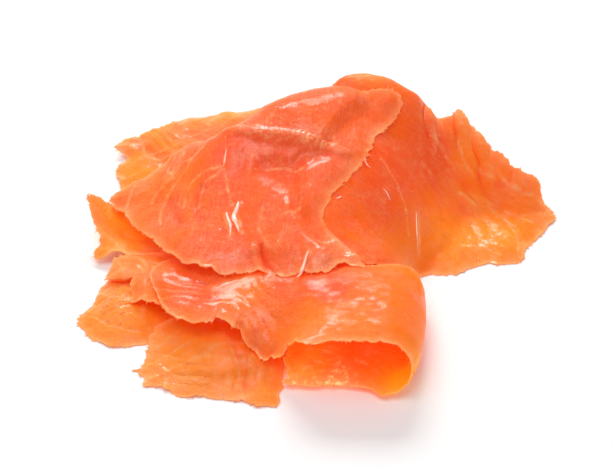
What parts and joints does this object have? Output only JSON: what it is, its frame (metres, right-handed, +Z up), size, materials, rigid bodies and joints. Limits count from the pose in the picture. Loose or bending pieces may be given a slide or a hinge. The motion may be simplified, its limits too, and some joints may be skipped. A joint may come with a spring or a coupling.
{
  "type": "smoked salmon slices",
  "caption": "Loose folded pile of thin smoked salmon slices, with a rolled fold at the front right, an upturned flap at the right and ragged, curling edges.",
  "frame": {"origin": "on the surface that the pile lies on, under the middle of the pile's box", "axes": "+X to the right and +Y to the back as seen from the rolled fold's side, +Z up"},
  "size_m": [0.1966, 0.1759, 0.05],
  "materials": {
    "salmon_flesh": "moist translucent orange fish flesh with pale fat lines",
    "salmon_flesh_red": "moist translucent red-orange fish flesh with pale fat lines",
    "salmon_flesh_pale": "moist translucent yellow-orange fish flesh, paler towards thin edges"
  },
  "bodies": {
    "root": {"lower_left_slice": "salmon_flesh_pale", "front_slice": "salmon_flesh_pale", "under_slice": "salmon_flesh", "inner_folds": "salmon_flesh", "rolled_slice": "salmon_flesh", "back_slice": "salmon_flesh_pale", "left_slice": "salmon_flesh_pale", "right_slice": "salmon_flesh", "top_slice": "salmon_flesh_red"}
  },
  "joints": []
}
